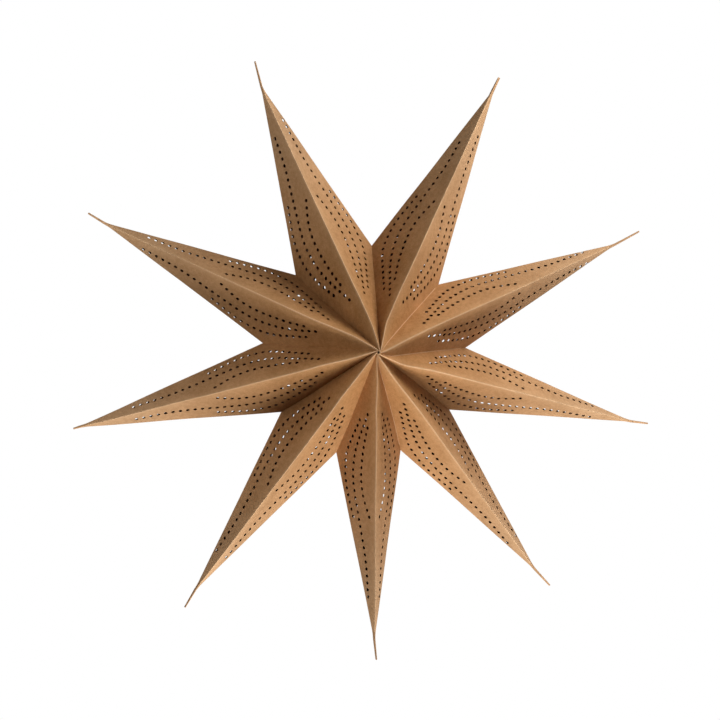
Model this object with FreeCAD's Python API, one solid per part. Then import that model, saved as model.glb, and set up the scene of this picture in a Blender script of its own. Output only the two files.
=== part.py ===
import FreeCAD
import Part
import math
import os

# A hanging star of folded paper with nine hollow points. Each point is one
# sheet of kraft paper, creased into a long four-sided spike and pinched flat
# at its end. The points are glued to each other by narrow flaps inside the
# valleys, and each of their sides is pierced by three curved rows of holes.
#
# The star hangs upright in the X-Z plane with its face towards -Y. The frame
# starts at the notch between the two upper points, where it is hung.
# Sizes are in millimetres, and bearings in degrees.

# The star as a whole.
tip_reach = 300.0          # from the middle of the star to the end of a point
hub_depth = 78.0           # from the mid-plane to where the ridges meet
notch_reach = 99.5         # from the middle to the notch between two points

# The nine points, clockwise from the upper left. They are folded by hand, so
# each has its own direction (from +X towards +Z), its own reach and aim as
# shares of tip_reach, and its own lean. The aim is where the flat walls would
# come to an end, and the lean is how far the tip has strayed from it sideways.
star_points = ((111.5, 1.015, 0.929, -0.010),
               (63.8, 1.015, 0.969, 0.000),
               (23.4, 1.012, 0.918, 0.008),
               (-14.0, 0.983, 0.924, 0.007),
               (-51.3, 0.985, 0.910, 0.005),
               (-88.2, 0.998, 0.930, 0.005),
               (-126.3, 1.008, 0.942, 0.006),
               (-165.9, 0.977, 0.955, 0.001),
               (-206.3, 1.007, 0.947, -0.005))

# The valley after each point: its direction, and the reach of its notch as a
# share of notch_reach. The first is where the row of points is closed.
valleys = ((86.5, 1.060), (43.1, 1.000), (3.6, 1.000), (-33.1, 1.000), (-69.4, 1.000),
           (-106.7, 1.000), (-145.9, 1.000), (-186.0, 1.015), (-228.2, 1.030))

# The paper and its folds.
paper_thickness = 0.4
closing_length = 8.0       # the walls close up over this length before the aim
tail_height = 5.0          # depth of the flat tail where it begins
tail_thickness = 2.0       # its width there, with both walls and a tab in it
tip_height = 2.0           # depth of the tail at its end
tip_thickness = 1.4        # and its width
hub_hole = 2.0             # opening left where all the ridges meet
flap_width = 8.0           # glue flap inside each valley
flap_hub_stop = 10.0       # a flap ends this far before the ridges meet
flap_notch_stop = 2.0      # and this far before the notch
overlap = 0.05             # the two walls share this much in the flat tail

# The pierced rows. Each is a smooth line on the wall through points given as
# shares: along the point from the middle of the star to the tip, and across
# it from the ridge to the notch.
middle_row = ((0.793, 0.165), (0.665, 0.240), (0.527, 0.415), (0.437, 0.530),
              (0.373, 0.562), (0.290, 0.475), (0.182, 0.180))
inner_row = ((0.527, 0.145), (0.457, 0.305), (0.387, 0.360), (0.300, 0.310),
             (0.237, 0.222))
outer_row = ((0.527, 0.553), (0.433, 0.720), (0.367, 0.762), (0.303, 0.705),
             (0.200, 0.385))
hole_width = 3.0
hole_spacing = 28.4        # the solids carry every fourth hole of a row


def folded_solid(sections):
    """Solid with flat faces between cuts that have the same corners."""
    faces = [Part.Face(Part.makePolygon(cut + cut[:1])) for cut in (sections[0], sections[-1])]
    for cut, after in zip(sections[:-1], sections[1:]):
        for i in range(len(cut)):
            j = (i + 1) % len(cut)
            for corners in ((cut[i], cut[j], after[j]), (cut[i], after[j], after[i])):
                faces.append(Part.Face(Part.makePolygon(corners + corners[:1])))
    return Part.Solid(Part.Shell(faces)).removeSplitter()


class Wall:
    """One side of a point, from the ridge to the valley beside it."""

    def __init__(self, reach, aim, lean, half_gap, notch):
        self.reach = reach
        self.aim_x = aim
        self.lean = lean
        self.angle = math.radians(half_gap)
        self.notch = notch
        self.notch_x = notch * math.cos(self.angle)
        self.notch_y = notch * math.sin(self.angle)
        self.slope = self.notch_y / self.ridge_depth(self.notch_x)
        run = self.slope * hub_depth / self.aim_x
        self.offset = paper_thickness * math.sqrt(1 + self.slope ** 2 + run ** 2)

    def ridge_depth(self, x):
        """Depth of the ridge in front of the mid-plane, on the flat walls."""
        return hub_depth * (1 - x / self.aim_x)

    def half_width(self, x):
        """Distance of the side crease from the middle plane of the point."""
        return self.slope * self.ridge_depth(x)

    def strip(self, x, depth, side):
        """Folded strip of paper that a cut across the open point would show.

        side is how far its side crease stands from the point's middle plane.
        """
        t = self.offset / 2
        corners = [(-t, depth), (t, depth), (side + t, 0), (t, -depth), (-t, -depth), (side - t, 0)]
        return [FreeCAD.Vector(x, y, z) for y, z in corners]

    def pressed(self, x, depth, width, shift):
        """The same strip pressed flat, moved sideways by shift."""
        corners = [(-overlap, depth), (width, depth), (width, 0),
                   (width, -depth), (-overlap, -depth), (-overlap, 0)]
        return [FreeCAD.Vector(x, y + shift, z) for y, z in corners]

    def paper(self):
        """The wall's paper, cut off where it meets the next point."""
        bend_x = self.aim_x - closing_length
        sections = [self.strip(x, self.ridge_depth(x), self.half_width(x)) for x in (0, bend_x)]
        sections.append(self.pressed(self.aim_x, tail_height / 2, tail_thickness / 2, 0))
        sections.append(self.pressed(self.reach, tip_height / 2, tip_thickness / 2, self.lean))
        sheet = folded_solid(sections)
        start = hub_hole / 2
        far = self.reach * 1.1
        rise = math.tan(self.angle)
        below = -hub_depth * 1.1
        tail = self.lean * far / self.reach
        corners = [FreeCAD.Vector(start, 0, below),
                   FreeCAD.Vector(bend_x, 0, below),
                   FreeCAD.Vector(bend_x, min(0, tail) - overlap, below),
                   FreeCAD.Vector(far, min(0, tail) - overlap, below),
                   FreeCAD.Vector(far, far * rise, below),
                   FreeCAD.Vector(start, start * rise, below)]
        base = Part.Face(Part.makePolygon(corners + corners[:1]))
        wedge = base.extrude(FreeCAD.Vector(0, 0, -2 * below))
        return sheet.common(wedge)

    def flap(self):
        """Glue flap along the front valley, flat against the next point's."""
        out = FreeCAD.Vector(math.cos(self.angle), math.sin(self.angle), 0)
        up = FreeCAD.Vector(0, 0, 1)
        notch_point = out * self.notch
        along = up * hub_depth - notch_point
        length = along.Length
        along.normalize()
        inward = (out * -hub_depth + up * -self.notch) * (1 / length)
        mitre = flap_notch_stop + flap_width * self.notch / hub_depth
        root = inward * (-paper_thickness / 2)
        corners = [notch_point + along * flap_notch_stop + root,
                   notch_point + along * (length - flap_hub_stop) + root,
                   notch_point + along * (length - flap_hub_stop - flap_width) + inward * flap_width,
                   notch_point + along * mitre + inward * flap_width]
        face = Part.Face(Part.makePolygon(corners + corners[:1]))
        inside = FreeCAD.Vector(math.sin(self.angle), -math.cos(self.angle), 0)
        return face.extrude(inside * paper_thickness)

    def on_wall(self, x, y):
        """Point of the front wall at a place seen from straight ahead."""
        return FreeCAD.Vector(x, y, self.ridge_depth(x) - y / self.slope)

    def row_places(self, row, first):
        """Centres of the holes of a row, evenly spaced after the first."""
        guide = [FreeCAD.Vector(a * self.reach, b * self.notch_y, 0) for a, b in row]
        curve = Part.BSplineCurve()
        curve.interpolate(guide)
        seen = curve.discretize(Number=120)
        line = [self.on_wall(p.x, p.y) for p in seen]
        travelled = 0.0
        due = first
        places = []
        for here, after in zip(line[:-1], line[1:]):
            step = after - here
            while due <= travelled + step.Length:
                share = (due - travelled) / step.Length
                places.append((here + step * share, step))
                due += hole_spacing
            travelled += step.Length
        return places

    def punches(self):
        """Four-sided punches that pierce the front wall along its rows."""
        shapes = []
        side = hole_width * math.sqrt(math.pi) / 2
        halfway = hole_spacing / 2
        for row, first in ((middle_row, 0.0), (inner_row, halfway), (outer_row, halfway)):
            for place, step in self.row_places(row, first):
                near = self.on_wall(place.x, place.y + hole_width)
                across = near - place
                forward = FreeCAD.Vector(step).normalize()
                normal = forward.cross(across).normalize()
                beside = normal.cross(forward)
                reach = 4 * paper_thickness
                corner = place - (forward + beside) * (side / 2) - normal * reach
                corners = [corner, corner + forward * side,
                           corner + (forward + beside) * side, corner + beside * side]
                face = Part.Face(Part.makePolygon(corners + corners[:1]))
                shapes.append(face.extrude(normal * 2 * reach))
        return shapes


def mirrored(shape, normal):
    """Copy of a shape on the other side of a plane through the middle."""
    return shape.mirror(FreeCAD.Vector(0, 0, 0), normal)


def star_point(reach, aim, lean, half_gaps, notches):
    """One folded sheet, lying along +X with its front towards +Z."""
    across = FreeCAD.Vector(0, 1, 0)
    back = FreeCAD.Vector(0, 0, 1)
    pieces = []
    punches = []
    for turn, half_gap, notch in zip((1, -1), half_gaps, notches):
        wall = Wall(reach, aim, lean * turn, half_gap, notch)
        solids = [wall.paper(), wall.flap(), mirrored(wall.flap(), back)]
        holes = wall.punches()
        holes += [mirrored(hole, back) for hole in holes]
        if turn < 0:
            solids = [mirrored(solid, across) for solid in solids]
            holes = [mirrored(hole, across) for hole in holes]
        pieces += solids
        punches += holes
    sheet = pieces[0].multiFuse(pieces[1:]).removeSplitter()
    return sheet.cut(Part.makeCompound(punches))


def stand_up(shape, bearing):
    """Turn a point from +X and +Z into the upright star, facing -Y."""
    shape.rotate(FreeCAD.Vector(0, 0, 0), FreeCAD.Vector(0, 0, 1), bearing)
    shape.rotate(FreeCAD.Vector(0, 0, 0), FreeCAD.Vector(1, 0, 0), 90)
    return shape


hang_way = math.radians(valleys[0][0])
hang_reach = notch_reach * valleys[0][1]
hang_point = FreeCAD.Vector(hang_reach * math.cos(hang_way), 0, hang_reach * math.sin(hang_way))

os.makedirs("parts", exist_ok=True)
for index, (bearing, reach, aim, lean) in enumerate(star_points):
    before = valleys[index - 1]
    after = valleys[index]
    half_gaps = ((before[0] - bearing) % 360, bearing - after[0])
    notches = (notch_reach * before[1], notch_reach * after[1])
    sizes = (tip_reach * share for share in (reach, aim, lean))
    point = stand_up(star_point(*sizes, half_gaps, notches), bearing)
    point.translate(hang_point * -1)
    name = "star_point_%d" % (index + 1)
    point.exportStep("parts/%s.step" % name)
    solids = point.Solids
    print(name, "solids", len(solids), "valid", point.isValid(),
          "volume %.0f mm3" % point.Volume)
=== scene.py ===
import math
import random

import bmesh
import bpy
from mathutils import Matrix, Vector, noise
from mathutils.geometry import delaunay_2d_cdt


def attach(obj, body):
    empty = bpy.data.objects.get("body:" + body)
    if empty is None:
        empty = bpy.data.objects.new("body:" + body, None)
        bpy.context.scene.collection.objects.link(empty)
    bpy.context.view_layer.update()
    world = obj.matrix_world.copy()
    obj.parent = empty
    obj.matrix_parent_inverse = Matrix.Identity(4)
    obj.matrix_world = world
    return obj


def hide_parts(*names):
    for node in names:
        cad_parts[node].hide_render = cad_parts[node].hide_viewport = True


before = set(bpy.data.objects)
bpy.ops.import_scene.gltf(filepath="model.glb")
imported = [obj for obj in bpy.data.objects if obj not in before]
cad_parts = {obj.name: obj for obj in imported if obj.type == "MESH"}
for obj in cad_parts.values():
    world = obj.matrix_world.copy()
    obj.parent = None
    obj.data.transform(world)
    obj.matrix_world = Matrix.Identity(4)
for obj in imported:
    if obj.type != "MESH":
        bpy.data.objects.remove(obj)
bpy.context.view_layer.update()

# A nine-pointed hanging star of folded kraft paper, seen from the front.
# Lengths are in millimetres from the middle of the star while its paper is
# laid out, with +Y up and +Z to the front, and in metres once it is hung.

# Kraft paper
# Uncoated brown kraft of about 300 g, calendered but matt. The pulp makes it
# cloudy, with short darker and paler fibres, and its outer folds are pale from
# rubbing, with a painted highlight along each ridge and a broader painted
# highlight beside it. Its colour is warmer at the middle of the star and cooler
# and a little darker towards the tips. The side facing into the star is painted
# dark brown, as painted shade.


def linear(hex_colour):
    """Colour that a shader takes, from the usual hex code."""
    parts = [int(hex_colour[i:i + 2], 16) / 255 for i in (1, 3, 5)]
    return [c / 12.92 if c <= 0.04045 else ((c + 0.055) / 1.055) ** 2.4 for c in parts] + [1.0]


def add(tree, kind, inputs=None, **settings):
    """Add a node and fill its inputs with values or with other nodes."""
    node = tree.nodes.new(kind)
    for name, value in settings.items():
        setattr(node, name, value)
    for name, value in (inputs or {}).items():
        if isinstance(value, bpy.types.NodeSocket):
            tree.links.new(value, node.inputs[name])
        else:
            node.inputs[name].default_value = value
    return node


def ramp(tree, factor, *stops):
    """Colours at places along a scale."""
    node = add(tree, "ShaderNodeValToRGB", {"Fac": factor})
    scale = node.color_ramp.elements
    while len(scale) < len(stops):
        scale.new(0.5)
    for element, (place, colour) in zip(scale, stops):
        element.position = place
        element.color = linear(colour)
    return node.outputs["Color"]


def blended(tree, share, under, over):
    """One colour laid over another."""
    return add(tree, "ShaderNodeMix", {0: share, 6: under, 7: over}, data_type="RGBA").outputs[2]


# The fibres are drawn coarser than real ones, so that they show.
CLOUD_SIZE = 0.030
PULP_SIZE = 0.004
FIBRE_SIZE = 0.0012
GRAIN_HEIGHT = 0.00012

kraft = bpy.data.materials.new("kraft paper")
kraft.use_nodes = True
tree = kraft.node_tree
tree.nodes.clear()
place = add(tree, "ShaderNodeTexCoord").outputs["Object"]
cloud = add(tree, "ShaderNodeTexNoise", {"Vector": place, "Scale": 1 / CLOUD_SIZE, "Detail": 3.0})
pulp = add(tree, "ShaderNodeTexNoise", {"Vector": place, "Scale": 1 / PULP_SIZE, "Detail": 4.0})
fibre = add(tree, "ShaderNodeTexNoise", {"Vector": place, "Scale": 1 / FIBRE_SIZE, "Detail": 2.0})
clouds = ramp(tree, cloud.outputs["Fac"], (0.38, "#B28457"), (0.62, "#C8986A"))
specks = ramp(tree, pulp.outputs["Fac"], (0.38, "#A6784D"), (0.62, "#D1A173"))
hairs = ramp(tree, fibre.outputs["Fac"], (0.30, "#9C6F46"), (0.60, "#C19165"), (0.80, "#D6A87C"))
colour = blended(tree, 0.35, clouds, specks)
colour = blended(tree, 0.30, colour, hairs)

# Distances in millimetres, from the ridge and from the middle of the star.
fold = add(tree, "ShaderNodeAttribute", attribute_name="from_ridge").outputs["Fac"]
away = add(tree, "ShaderNodeAttribute", attribute_name="from_middle").outputs["Fac"]
# Colour warmer at the middle of the star and cooler and a little darker towards the tips.
toward_tips = add(tree, "ShaderNodeMapRange", {"Value": away, "From Min": 40.0, "From Max": 230.0})
tone = ramp(tree, toward_tips.outputs[0], (0.0, "#FFF4DD"), (1.0, "#E7EFF9"))
toned = add(tree, "ShaderNodeMix", {0: 1.0, 6: colour, 7: tone}, data_type="RGBA", blend_type="MULTIPLY")
colour = toned.outputs[2]
# Painted highlight: a broad paler band beside each ridge, where more light falls.
ridge_painted_highlight = add(tree, "ShaderNodeMapRange", {"Value": fold, "From Min": 0.5, "From Max": 9.0,
                                             "To Min": 0.16, "To Max": 0.0})
colour = blended(tree, ridge_painted_highlight.outputs[0], colour, linear("#DDB488"))
# A narrow pale line on each ridge: paper pale from rubbing, and partly a painted highlight along the
# fold. There is less of it towards the tips.
rub_and_ridge_highlight = add(tree, "ShaderNodeMapRange", {"Value": fold, "From Min": 0.3, "From Max": 1.5,
                                          "To Min": 0.55, "To Max": 0.0})
outwards = add(tree, "ShaderNodeMapRange", {"Value": away, "From Min": 60.0, "From Max": 200.0,
                                            "To Min": 1.0, "To Max": 0.4})
rub_and_highlight = add(tree, "ShaderNodeMath", {0: rub_and_ridge_highlight.outputs[0], 1: outwards.outputs[0]}, operation="MULTIPLY")
colour = blended(tree, rub_and_highlight.outputs[0], colour, linear("#EAC8A0"))

# The side of the paper that faces into the star, painted dark brown as painted shade for the dim inside
# of the star.
inside_painted_shade = add(tree, "ShaderNodeAttribute", attribute_name="inside").outputs["Fac"]
colour = blended(tree, inside_painted_shade, colour, linear("#57371F"))
grain = add(tree, "ShaderNodeBump", {"Height": pulp.outputs["Fac"], "Strength": 0.3,
                                     "Distance": GRAIN_HEIGHT})
sheen = add(tree, "ShaderNodeBsdfPrincipled", {"Base Color": colour, "Roughness": 0.9,
                                               "Specular IOR Level": 0.2, "Normal": grain.outputs[0]})
add(tree, "ShaderNodeOutputMaterial", {"Surface": sheen.outputs[0]})

# Star points
# Nine sheets of kraft paper, each creased to a hollow four-sided spike and
# pinched flat at its end. Three curved rows of round holes are punched in
# every wall, and glue flaps inside the valleys hold the points together.

TIP_REACH = 300.0
HUB_DEPTH = 78.0
NOTCH_REACH = 99.5
HUB_HOLE = 2.0
PAPER = 0.4
CLOSING_LENGTH = 8.0
TAIL_HEIGHT = 5.0
TAIL_THICKNESS = 1.6
TIP_HEIGHT = 2.0
TIP_THICKNESS = 0.8
FLAP_WIDTH = 8.0
FLAP_ROOT = 0.1
FLAP_HUB_STOP = 10.0
FLAP_NOTCH_STOP = 2.0
# Part of its length that one face of a flap or of a cut edge takes.
SHARE_STEP = 0.1

# Direction of each point, its reach and aim as shares, and the tip's lean.
POINTS = ((111.5, 1.015, 0.929, -0.010), (63.8, 1.015, 0.969, 0.000), (23.4, 1.012, 0.918, 0.008),
          (-14.0, 0.983, 0.924, 0.007), (-51.3, 0.985, 0.910, 0.005), (-88.2, 0.998, 0.930, 0.005),
          (-126.3, 1.008, 0.942, 0.006), (-165.9, 0.977, 0.955, 0.001), (-206.3, 1.007, 0.947, -0.005))
# The valley after each point: its direction and the reach of its notch.
VALLEYS = ((86.5, 1.060), (43.1, 1.000), (3.6, 1.000), (-33.1, 1.000), (-69.4, 1.000),
           (-106.7, 1.000), (-145.9, 1.000), (-186.0, 1.015), (-228.2, 1.030))

# The rows as shares, along the point to its tip and across to the notch.
ROWS = (((0.793, 0.165), (0.665, 0.240), (0.527, 0.415), (0.437, 0.530),
         (0.373, 0.562), (0.290, 0.475), (0.182, 0.180)),
        ((0.527, 0.145), (0.457, 0.305), (0.387, 0.360), (0.300, 0.310), (0.237, 0.222)),
        ((0.527, 0.553), (0.433, 0.720), (0.367, 0.762), (0.303, 0.705), (0.200, 0.385)))
HOLE_WIDTH = 3.5
HOLE_SPACING = 7.1
HOLE_CORNERS = 14
# Points whose middle row starts two holes later on the left wall.
LATE_ROWS = (1, 2)
HOLES_LATE = 2
# What the triangulation gives back: the inside of the outline, with its holes.
INSIDE_WITH_HOLES = 2

# Spacing of the mesh: near the middle and on the tail, along the ridge, the
# side crease and the valley, and in staggered rows inside a wall.
FINE_STEP = 2.0
FINE_REACH = 25.0
RIDGE_STEP = 6.0
CREASE_STEP = 5.0
VALLEY_STEP = 3.0
GRID_STEP = 4.0
GRID_STAGGER = 2.0
# Gaps that the points inside a wall keep to its folds, its tip and its holes.
VALLEY_GAP = 2.5
RIDGE_GAP = 1.5
TIP_GAP = 3.0
HOLE_GAP_SQUARED = 6.0
MESH_PRECISION = 1e-4
ON_RIDGE = 1e-3
SAME_PLACE = 0.01

# Signs of hand work: bowed walls, uneven folds, and a twisted middle that
# sits a little up and to the left.
BOW = 0.9
BOW_RANGE = (-0.5, 1.0)
# Walls lower than this bulge less.
LOW_WALL = 25.0
UNEVEN = 0.5
UNEVEN_SIZE = 70.0
TWIST = 2.0
TWIST_REACH = 70.0
HUB_SHIFT = Vector((-1.0, 1.5, 0.0))
# How far each ridge bends clockwise, close to the middle and further out,
# and how far from the middle the bend ends.
RIDGE_BENDS = ((3.5, 3.9, 245.0), (-6.2, -6.2, 330.0), (-1.1, -1.5, 245.0), (4.0, 2.2, 245.0),
               (1.6, 1.4, 245.0), (0.0, 2.2, 245.0), (1.3, 2.7, 245.0), (-0.2, 1.5, 245.0),
               (2.9, 2.7, 245.0))
BEND_CLOSE = 28.0
BEND_FAR = 55.0
# How far the valley after each point bends clockwise, most of all at a share
# of its way from the middle to the notch.
VALLEY_BENDS = (0.3, -1.5, 3.0, -1.0, 1.6, -0.4, 0.1, 0.0, 0.1)
VALLEY_BEND_PEAK = 0.12
# Folds sharper than this show as a crease.
CREASE_ANGLE = math.radians(20)
# Points on whose left wall the cut edge of the next flap shows in front.
OPEN_EDGES = (3, 4, 6)
EDGE_FROM = 0.04
EDGE_TO = 0.94
EDGE_START = 0.2
EDGE_WIDTH = 0.9
EDGE_RISE = PAPER * 1.2
# Distances from the ridge that give an edge the pale of a fold after rubbing and its painted highlight,
# and a flap none.
EDGE_RUB_AND_HIGHLIGHT = 0.4
NO_RUB_OR_HIGHLIGHT = 50.0
# Mark on faces that are outside whichever way they point.
NEVER_INSIDE = -1.0
# Normals that agree by more than this point the same way.
SAME_WAY = 0.5


def spaced(start, end, step):
    """Even places from start to end, about a step apart."""
    count = max(1, round(abs(end - start) / step))
    return [start + (end - start) * k / count for k in range(count + 1)]


def along_curve(guide, step):
    """Places every step along a smooth curve through the guide points."""
    ends = [2 * guide[0] - guide[1]] + guide + [2 * guide[-1] - guide[-2]]
    line = []
    for a, b, c, d in zip(ends[:-3], ends[1:-2], ends[2:-1], ends[3:]):
        for s in spaced(0, 1, 1 / 40)[:-1]:
            line.append(0.5 * (2 * b + (c - a) * s + (2 * a - 5 * b + 4 * c - d) * s ** 2
                               + (3 * b - a - 3 * c + d) * s ** 3))
    line.append(guide[-1])
    places = []
    travelled = 0.0
    for here, after in zip(line[:-1], line[1:]):
        length = (after - here).length
        while len(places) * step <= travelled + length:
            places.append(here.lerp(after, (len(places) * step - travelled) / length))
        travelled += length
    return places


class Wall:
    """One side of a point, whose paper runs from the front ridge to the back."""

    def __init__(self, reach, aim, lean, half_gap, notch):
        self.reach = reach
        self.aim_x = aim
        self.bend_x = aim - CLOSING_LENGTH
        self.lean = lean
        self.notch = notch
        self.angle = math.radians(half_gap)
        self.notch_x = notch * math.cos(self.angle)
        self.notch_y = notch * math.sin(self.angle)
        self.slope = self.notch_y / self.flat_depth(self.notch_x)
        fall = HUB_DEPTH / self.aim_x
        self.ridge_way = Vector((1, 0, -fall)).normalized()
        self.normal = Vector((self.slope * fall, 1, self.slope)).normalized()
        self.out = Vector((math.cos(self.angle), math.sin(self.angle), 0))
        self.valley_length = math.hypot(notch, HUB_DEPTH)
        self.per_width = math.sqrt(1 + 1 / (self.slope ** 2 * (1 + fall ** 2)))

    def flat_depth(self, x):
        """Depth of the ridge in front of the mid-plane, on the flat walls."""
        return HUB_DEPTH * (1 - x / self.aim_x)

    def ridge(self, x):
        """Depth of the ridge, which swells a little where the tail begins."""
        if x <= self.bend_x:
            return self.flat_depth(x)
        near = self.flat_depth(self.bend_x)
        if x <= self.aim_x:
            return near + (TAIL_HEIGHT / 2 - near) * (x - self.bend_x) / CLOSING_LENGTH
        share = (x - self.aim_x) / (self.reach - self.aim_x)
        return (TAIL_HEIGHT + (TIP_HEIGHT - TAIL_HEIGHT) * share) / 2

    def valley(self, x):
        """Depth of the valley, down to the notch."""
        return HUB_DEPTH * (1 - x / self.notch_x)

    def on_valley(self, share):
        """Place on the valley at a share of its way from the middle to the notch."""
        return self.out * (self.notch * share) + Vector((0, 0, HUB_DEPTH * (1 - share)))

    def low(self, x):
        """Depth where the front half of the wall ends: the valley or the side crease."""
        return max(0.0, self.valley(x))

    def spread(self, x, z):
        """Distance of the paper from the middle plane of the point."""
        if x <= self.bend_x:
            return max(0.0, self.slope * (self.flat_depth(x) - z))
        if x <= self.aim_x:
            share = (x - self.bend_x) / CLOSING_LENGTH
            width = self.slope * self.flat_depth(self.bend_x) * (1 - share)
            return width * max(0.0, 1 - z / self.ridge(x)) + TAIL_THICKNESS / 2 * share ** 1.5
        share = (x - self.aim_x) / (self.reach - self.aim_x)
        return (TAIL_THICKNESS + (TIP_THICKNESS - TAIL_THICKNESS) * share) / 2

    def stray(self, x):
        """Sideways shift of the tail towards its end."""
        return self.lean * max(0.0, (x - self.aim_x) / (self.reach - self.aim_x))

    def hole_rims(self, late):
        """Rims of the holes in the front half of the wall, seen from its side."""
        across = self.normal.cross(self.ridge_way)
        rims = []
        for row in ROWS:
            guide = []
            for a, b in row:
                x = a * self.reach
                y = b * self.notch_y
                guide.append(Vector((x, y, self.flat_depth(x) - y / self.slope)))
            first = late if row is ROWS[0] else 0
            for middle in along_curve(guide, HOLE_SPACING)[first:]:
                rim = []
                for k in range(HOLE_CORNERS):
                    turn = 2 * math.pi * k / HOLE_CORNERS
                    way = self.ridge_way * math.cos(turn) + across * math.sin(turn)
                    p = middle + way * (HOLE_WIDTH / 2)
                    rim.append((p.x, p.z))
                rims.append(rim)
        return rims

    def layout(self, late):
        """The front half of the wall as flat points and triangles, with its holes."""
        hub_x = HUB_HOLE / 2
        ridge_x = spaced(hub_x, FINE_REACH, FINE_STEP)[:-1]
        ridge_x += spaced(FINE_REACH, self.bend_x, RIDGE_STEP)[:-1]
        ridge_x += spaced(self.bend_x, self.reach, FINE_STEP)
        outline = [(x, self.ridge(x)) for x in ridge_x]
        outline += [(x, 0.0) for x in spaced(self.reach, self.bend_x, FINE_STEP)]
        outline += [(x, 0.0) for x in spaced(self.bend_x, self.notch_x, CREASE_STEP)[1:]]
        outline += [(x, self.valley(x)) for x in spaced(self.notch_x, hub_x, VALLEY_STEP)[1:]]
        points = outline[::-1]
        loops = [list(range(len(points)))]
        rims = self.hole_rims(late)
        for rim in rims:
            loops.append(list(range(len(points), len(points) + len(rim))))
            points += rim
        centres = []
        for rim in rims:
            centres.append((sum(p[0] for p in rim) / len(rim), sum(p[1] for p in rim) / len(rim)))
        for row, x in enumerate(spaced(hub_x + GRID_STEP, self.reach - TIP_GAP, GRID_STEP)):
            z = self.low(x) + VALLEY_GAP + (row % 2) * GRID_STAGGER
            while z < self.ridge(x) - RIDGE_GAP:
                if all((x - c[0]) ** 2 + (z - c[1]) ** 2 > HOLE_GAP_SQUARED for c in centres):
                    points.append((x, z))
                z += GRID_STEP
        flat = [Vector(p) for p in points]
        made = delaunay_2d_cdt(flat, [], loops, INSIDE_WITH_HOLES, MESH_PRECISION)
        return [(v.x, v.y) for v in made[0]], made[2]

    def up_wall(self, x, z):
        """Share of the way up the wall, from its valley or side crease."""
        return (z - self.low(x)) / max(self.ridge(x) - self.low(x), 0.1)

    def bow(self, x, z):
        """Share of the wall's bulge at a place, none at its folds."""
        share = self.up_wall(x, z)
        return 4 * share * (1 - share) * min(1.0, (self.ridge(x) - self.low(x)) / LOW_WALL)


def ridge_bend(x, bends):
    """How far a ridge has bent at a distance from the middle."""
    close, far, end = bends
    if x < BEND_CLOSE:
        return close * x / BEND_CLOSE
    if x < BEND_FAR:
        return close + (far - close) * (x - BEND_CLOSE) / (BEND_FAR - BEND_CLOSE)
    return far * max(0.0, (end - x) / (end - BEND_FAR))


def valley_bend(share, bend, angle):
    """Shift of a valley at a share of its way from the middle to the notch."""
    size = bend * max(0.0, min(share / VALLEY_BEND_PEAK, (1 - share) / (1 - VALLEY_BEND_PEAK)))
    return Vector((math.sin(angle), -math.cos(angle), 0)) * size


def hung(p):
    """Twist the folds round the middle, make them uneven, and hang the star."""
    away = math.hypot(p.x, p.y)
    turn = -TWIST / (away + 1.0) * max(0.0, 1 - away / TWIST_REACH)
    spun = Matrix.Rotation(turn, 3, "Z") @ p
    spun += HUB_SHIFT * max(0.0, 1 - away / TWIST_REACH)
    spun += noise.noise_vector(p / UNEVEN_SIZE) * UNEVEN
    return (Vector((spun.x, -spun.z, spun.y)) - HANG_POINT) / 1000


hang_way = math.radians(VALLEYS[0][0])
HANG_POINT = Vector((math.cos(hang_way), 0.0, math.sin(hang_way))) * NOTCH_REACH * VALLEYS[0][1]
# The bulges and the unevenness come out the same on each run.
luck = random.Random(9)
noise.seed_set(9)


def strip(bm, pairs, forward):
    """Row of faces between pairs of vertices."""
    faces = []
    for here, after in zip(pairs[:-1], pairs[1:]):
        corners = [here[0], after[0], after[1], here[1]]
        faces.append(bm.faces.new(corners if forward else corners[::-1]))
    return faces


def glue_flap(bm, wall, side, front, dip, turn):
    """Flap along the valley, on its own side of the seam."""
    from_ridge = bm.verts.layers.float["from_ridge"]
    length = wall.valley_length
    inward = (wall.out * -HUB_DEPTH + Vector((0, 0, -wall.notch))) / length
    mitre = FLAP_NOTCH_STOP + FLAP_WIDTH * wall.notch / HUB_DEPTH
    end = length - FLAP_HUB_STOP
    pairs = []
    for share in spaced(0, 1, SHARE_STEP):
        near = FLAP_NOTCH_STOP + (end - FLAP_NOTCH_STOP) * share
        far = mitre + (end - FLAP_WIDTH - mitre) * share
        pair = []
        for way, width in ((near, FLAP_ROOT), (far, FLAP_WIDTH)):
            along = 1 - way / length
            p = wall.on_valley(along) + inward * width
            p = Vector((p.x, p.y * side, p.z * front)) + valley_bend(along, dip, wall.angle * side)
            vert = bm.verts.new(turn @ p)
            vert[from_ridge] = NO_RUB_OR_HIGHLIGHT
            pair.append(vert)
        pairs.append(pair)
    strip(bm, pairs, side == front)


def cut_edge(bm, wall, dip, turn):
    """Cut edge of the neighbour's flap, lying on this wall beside the valley."""
    from_ridge = bm.verts.layers.float["from_ridge"]
    inside = bm.faces.layers.float["inside"]
    valley_way = (wall.on_valley(1) - wall.on_valley(0)).normalized()
    uphill = valley_way.cross(wall.normal)
    pairs = []
    for share in spaced(EDGE_FROM, EDGE_TO, SHARE_STEP):
        p = wall.on_valley(share) + wall.normal * EDGE_RISE + valley_bend(share, dip, wall.angle)
        pair = [bm.verts.new(turn @ (p + uphill * width)) for width in (EDGE_START, EDGE_WIDTH)]
        # The edge takes the pale of a fold after rubbing, and partly a painted highlight.
        for vert in pair:
            vert[from_ridge] = EDGE_RUB_AND_HIGHLIGHT
        pairs.append(pair)
    for face in strip(bm, pairs, True):
        face[inside] = NEVER_INSIDE


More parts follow.
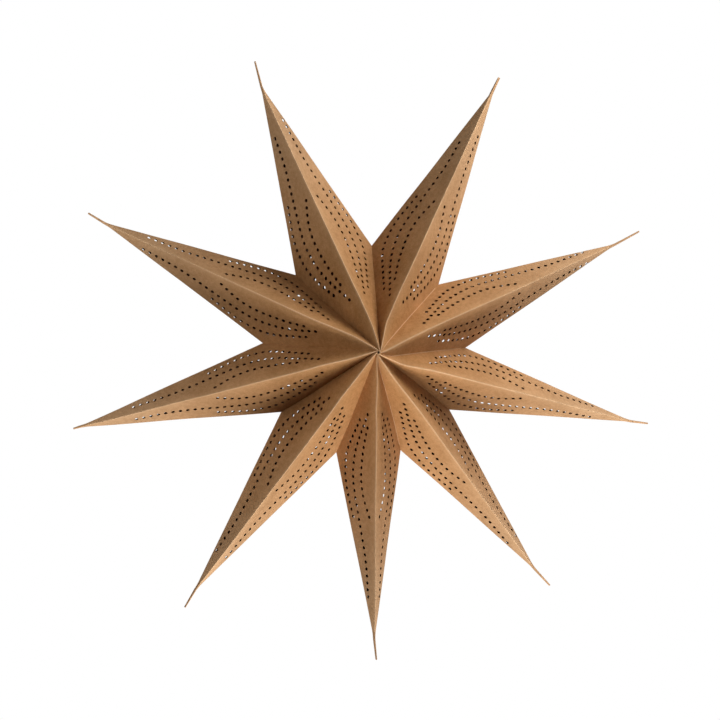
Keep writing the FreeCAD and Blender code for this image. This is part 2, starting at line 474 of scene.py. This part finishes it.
def folded_point(name, bearing, reach, aim, lean, half_gaps, notches, bends, dips, open_edge, late):
    """Fold one sheet and give it its thickness."""
    bm = bmesh.new()
    from_ridge = bm.verts.layers.float.new("from_ridge")
    from_middle = bm.verts.layers.float.new("from_middle")
    inside = bm.faces.layers.float.new("inside")
    turn = Matrix.Rotation(math.radians(bearing), 3, "Z")
    for side, half_gap, notch, dip in zip((1, -1), half_gaps, notches, dips):
        wall = Wall(reach, aim, lean * side, half_gap, notch)
        angle = wall.angle * side
        places, faces = wall.layout(HOLES_LATE if late and side > 0 else 0)
        for front in (1, -1):
            bulge = BOW * luck.uniform(*BOW_RANGE)
            verts = []
            for x, z in places:
                on_ridge = z > wall.ridge(x) - ON_RIDGE
                y = 0.0 if on_ridge else wall.spread(x, z)
                p = Vector((x, y + wall.stray(x), z))
                if not on_ridge:
                    p += wall.normal * bulge * wall.bow(x, z)
                up = wall.up_wall(x, z)
                p = Vector((p.x, p.y * side - ridge_bend(x, bends) * up, p.z * front))
                p += valley_bend(x / wall.notch_x, dip, angle) * (1 - up)
                vert = bm.verts.new(turn @ p)
                vert[from_ridge] = y * wall.per_width + max(0.0, x - wall.bend_x)
                verts.append(vert)
            for face in faces:
                corners = [verts[k] for k in face]
                bm.faces.new(corners if side == front else corners[::-1])
            glue_flap(bm, wall, side, front, dip, turn)
            if open_edge and side > 0 and front > 0:
                cut_edge(bm, wall, dip, turn)
    bmesh.ops.remove_doubles(bm, verts=bm.verts, dist=SAME_PLACE)
    for vert in bm.verts:
        vert[from_middle] = math.hypot(vert.co.x, vert.co.y)
        vert.co = hung(vert.co)
    bm.normal_update()
    # The sheet was laid out facing inwards, so the side that still does is inside.
    facing = bm.faces.layers.float_vector.new("facing")
    for face in bm.faces:
        face[facing] = face.normal
    bmesh.ops.solidify(bm, geom=bm.faces[:], thickness=PAPER / 1000)
    bm.normal_update()
    for face in bm.faces:
        within = face[inside] != NEVER_INSIDE and face.normal.dot(face[facing]) > SAME_WAY
        face[inside] = 1.0 if within else 0.0
        face.smooth = True
    bm.faces.layers.float_vector.remove(bm.faces.layers.float_vector["facing"])
    for edge in bm.edges:
        edge.smooth = len(edge.link_faces) == 2 and edge.calc_face_angle(0.0) < CREASE_ANGLE
    mesh = bpy.data.meshes.new(name)
    bm.to_mesh(mesh)
    bm.free()
    mesh.materials.append(kraft)
    made = bpy.data.objects.new(name, mesh)
    bpy.context.scene.collection.objects.link(made)
    return made


for i, (bearing, *shares) in enumerate(POINTS):
    before = VALLEYS[i - 1]
    after = VALLEYS[i]
    half_gaps = ((before[0] - bearing) % 360, bearing - after[0])
    reach, aim, lean = (TIP_REACH * share for share in shares)
    notches = (NOTCH_REACH * before[1], NOTCH_REACH * after[1])
    dips = (VALLEY_BENDS[i - 1], VALLEY_BENDS[i])
    number = i + 1
    point = folded_point("paper_point_%d" % number, bearing, reach, aim, lean, half_gaps, notches,
                         RIDGE_BENDS[i], dips, number in OPEN_EDGES, number in LATE_ROWS)
    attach(point, "root")
    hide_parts("star_point_%d" % number)

# Studio
# A white room that shows plain white behind the star. Soft boxes round its
# edge light the folds from the side, mostly from the right and from below.

world = bpy.data.worlds.new("white studio")
bpy.context.scene.world = world
world.use_nodes = True
tree = world.node_tree
tree.nodes.clear()
seen = add(tree, "ShaderNodeLightPath").outputs["Is Camera Ray"]
fill = add(tree, "ShaderNodeBackground", {"Color": linear("#F4F1EC"), "Strength": 0.02})
white = add(tree, "ShaderNodeBackground", {"Color": (1, 1, 1, 1), "Strength": 1.0})
both = add(tree, "ShaderNodeMixShader", {0: seen, 1: fill.outputs[0], 2: white.outputs[0]})
add(tree, "ShaderNodeOutputWorld", {"Surface": both.outputs[0]})

STAR_MIDDLE = -HANG_POINT / 1000


def soft_lamp(name, place, size, power):
    """Square soft box aimed at the middle of the star."""
    lamp = bpy.data.lights.new(name, "AREA")
    lamp.size = size
    lamp.energy = power
    box = bpy.data.objects.new(name, lamp)
    bpy.context.scene.collection.objects.link(box)
    box.location = STAR_MIDDLE + Vector(place)
    box.rotation_euler = (-Vector(place)).to_track_quat("-Z", "Y").to_euler()


# Place (right, back, up) from the middle of the star, size and power.
soft_lamp("far below", (0, 0, -1.2), 0.8, 22.7)
soft_lamp("right behind", (1, 0.3, 0), 0.5, 5.4)
soft_lamp("lower right behind", (0.707, 0.3, -0.707), 0.5, 5.0)
soft_lamp("upper right behind", (0.707, 0.3, 0.707), 0.5, 4.8)
soft_lamp("upper right front", (0.636, -0.35, 0.636), 0.4, 4.7)
soft_lamp("left behind", (-1, 0.3, 0), 0.5, 1.6)
soft_lamp("upper right close", (0.438, -0.1, 0.438), 0.3, 1.4)
soft_lamp("left close", (-0.62, -0.1, 0), 0.3, 0.8)
soft_lamp("low in front", (0.3, -0.5, -0.7), 0.5, 0.7)
soft_lamp("upper left front", (-0.636, -0.35, 0.636), 0.4, 0.4)
soft_lamp("upper left close", (-0.438, -0.1, 0.438), 0.3, 0.4)
soft_lamp("left front", (-0.9, -0.35, 0), 0.4, 0.4)
soft_lamp("above close", (0, -0.1, 0.62), 0.3, 0.3)

# Camera
# A long lens, a little to the left of straight ahead. The shift puts the
# star where it is in the picture.

SENSOR_WIDTH = 36.0
LENS = 119.95
SWING = -10.0
DISTANCE = 2.350
SHIFT = (-0.00517, -0.00581)

camera_data = bpy.data.cameras.new("camera")
camera_data.sensor_width = SENSOR_WIDTH
camera_data.lens = LENS
camera = bpy.data.objects.new("camera", camera_data)
bpy.context.scene.collection.objects.link(camera)
bpy.context.scene.camera = camera
swing = Matrix.Rotation(math.radians(SWING), 4, "Z") @ Matrix.Rotation(math.radians(90), 4, "X")
back_off = Matrix.Translation((*SHIFT, DISTANCE))
camera.matrix_world = Matrix.Translation(STAR_MIDDLE) @ swing @ back_off
bpy.context.scene.view_settings.view_transform = "Standard"
